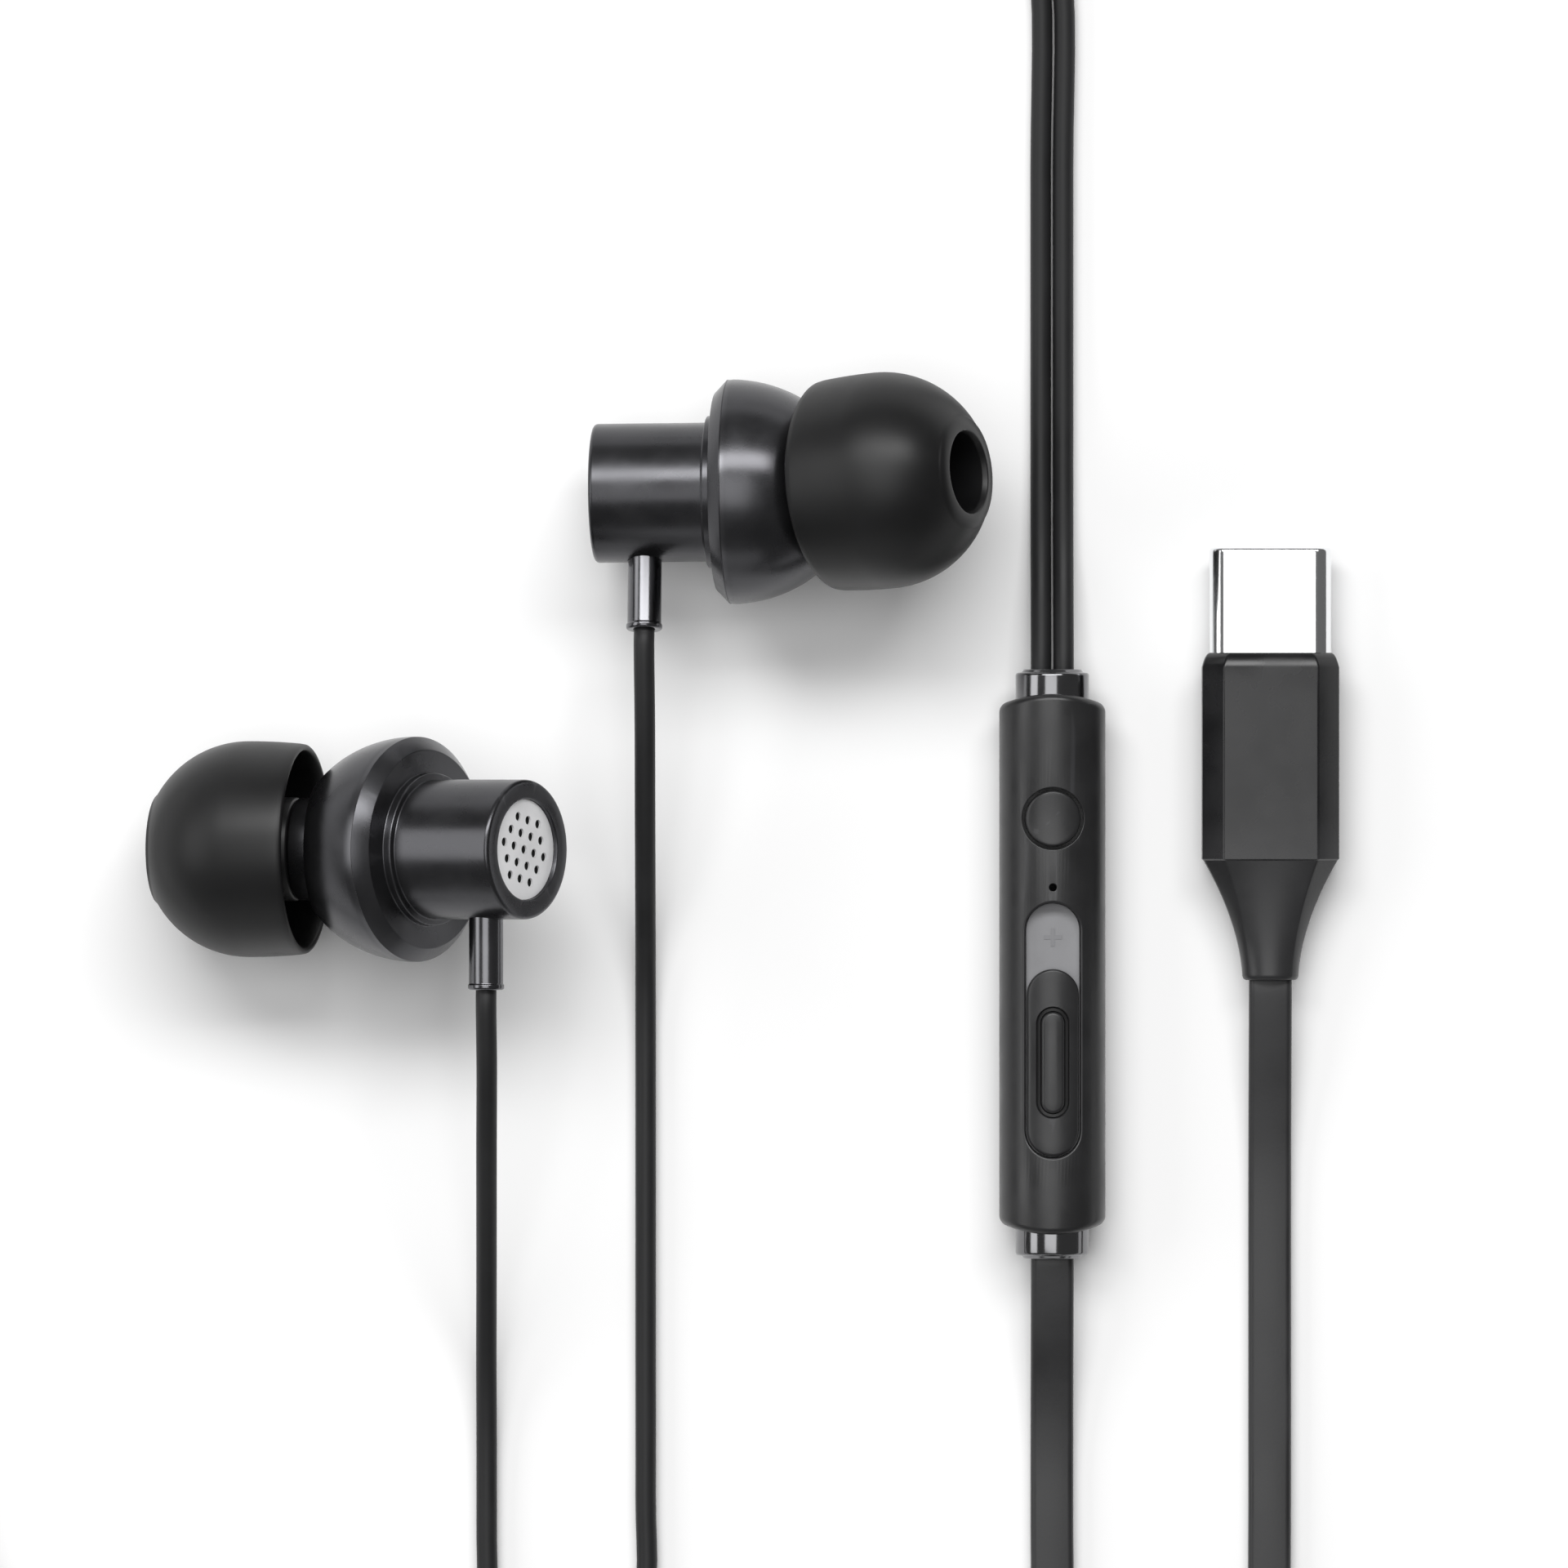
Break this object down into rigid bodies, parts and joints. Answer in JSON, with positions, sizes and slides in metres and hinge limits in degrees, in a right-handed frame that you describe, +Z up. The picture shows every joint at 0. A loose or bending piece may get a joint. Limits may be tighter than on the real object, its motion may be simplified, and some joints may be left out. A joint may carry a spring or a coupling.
{
  "type": "wired earphones",
  "caption": "Wired in-ear earphones with angled nozzles, silicone ear tips, an inline remote with a button and a volume slider, and a USB-C plug on a coiled flat cord.",
  "frame": {"origin": "middle of the inline remote's flat back, which lies on the surface at Z = 0", "axes": "+Z up from the surface; +Y along the remote, from the main cord's end to the earbud cords' end, and along the plug, out of its mouth; +X to the plug's side"},
  "size_m": [0.1033, 0.1751, 0.0201],
  "materials": {
    "black_metal": "black anodised metal, fine satin",
    "bright_steel": "bright stamped steel",
    "acoustic_foam": "open black foam",
    "dark_mesh": "fine woven wire mesh",
    "inner_plastic": "moulded black plastic",
    "magnet_metal": "nickel-plated magnet",
    "copper_wire": "wound copper and bronze",
    "polymer_film": "thin pressed film",
    "circuit_board": "green board with solder mask",
    "black_silicone": "soft matte silicone",
    "black_case": "black satin case with fine grain",
    "grey_track": "grey moulded plastic",
    "carbon_film": "printed carbon film",
    "gloss_collar": "polished black plastic",
    "plug_metal": "polished nickel-plated steel",
    "gold_contact": "gold-plated contacts",
    "boot_plastic": "black moulded boot",
    "cord_jacket": "satin black jacket",
    "tie_strap": "ribbed black silicone strap"
  },
  "bodies": {
    "earphones": {"left_rear_housing": "black_metal", "left_rear_grille": "bright_steel", "left_rear_damper": "acoustic_foam", "left_front_housing": "black_metal", "left_nozzle_mesh": "dark_mesh", "left_driver_basket": "inner_plastic", "left_driver_yoke": "bright_steel", "left_driver_magnet": "magnet_metal", "left_pole_plate": "bright_steel", "left_voice_coil": "copper_wire", "left_diaphragm": "polymer_film", "left_terminal_board": "circuit_board", "left_stem": "black_metal", "left_cord_crimp": "bright_steel", "right_rear_housing": "black_metal", "right_rear_grille": "bright_steel", "right_rear_damper": "acoustic_foam", "right_front_housing": "black_metal", "right_nozzle_mesh": "dark_mesh", "right_driver_basket": "inner_plastic", "right_driver_yoke": "bright_steel", "right_driver_magnet": "magnet_metal", "right_pole_plate": "bright_steel", "right_voice_coil": "copper_wire", "right_diaphragm": "polymer_film", "right_terminal_board": "circuit_board", "right_stem": "black_metal", "right_cord_crimp": "bright_steel", "remote_front_shell": "black_case", "remote_back_shell": "black_case", "button_switch": "bright_steel", "slider_track": "grey_track", "slide_resistor": "carbon_film", "remote_board": "circuit_board", "microphone": "bright_steel", "mic_gasket": "black_silicone", "upper_collar": "gloss_collar", "lower_collar": "gloss_collar", "plug_shell": "plug_metal", "plug_tongue": "gloss_collar", "plug_contacts": "gold_contact", "plug_body": "black_case", "plug_boot": "boot_plastic", "plug_board": "circuit_board", "plug_chip": "inner_plastic", "left_cord": "cord_jacket", "right_cord": "cord_jacket", "main_cord_lead": "cord_jacket", "main_cord_coil": "cord_jacket", "main_cord_run": "cord_jacket", "cord_tie": "tie_strap"},
    "button": {"main_button": "black_case"},
    "volume_slider": {"volume_knob": "black_case", "knob_wiper": "copper_wire"},
    "left_tip": {"left_ear_tip": "black_silicone"},
    "right_tip": {"right_ear_tip": "black_silicone"}
  },
  "joints": [
    {"name": "button_press", "type": "slide", "parent": "earphones", "child": "button", "axis": [0, 0, -1], "range_m": [0, 0.00025], "stiffness_N_per_m": 2000, "springref_m": -0.0001},
    {"name": "volume_slide", "type": "slide", "parent": "earphones", "child": "volume_slider", "axis": [0, 1, 0], "range_m": [0, 0.00435]},
    {"name": "left_tip_pull", "type": "slide", "parent": "earphones", "child": "left_tip", "axis": [-0.9744, 0, -0.225], "range_m": [0, 0.005]},
    {"name": "right_tip_pull", "type": "slide", "parent": "earphones", "child": "right_tip", "axis": [0.8869, 0.0808, 0.4549], "range_m": [0, 0.005]}
  ]
}
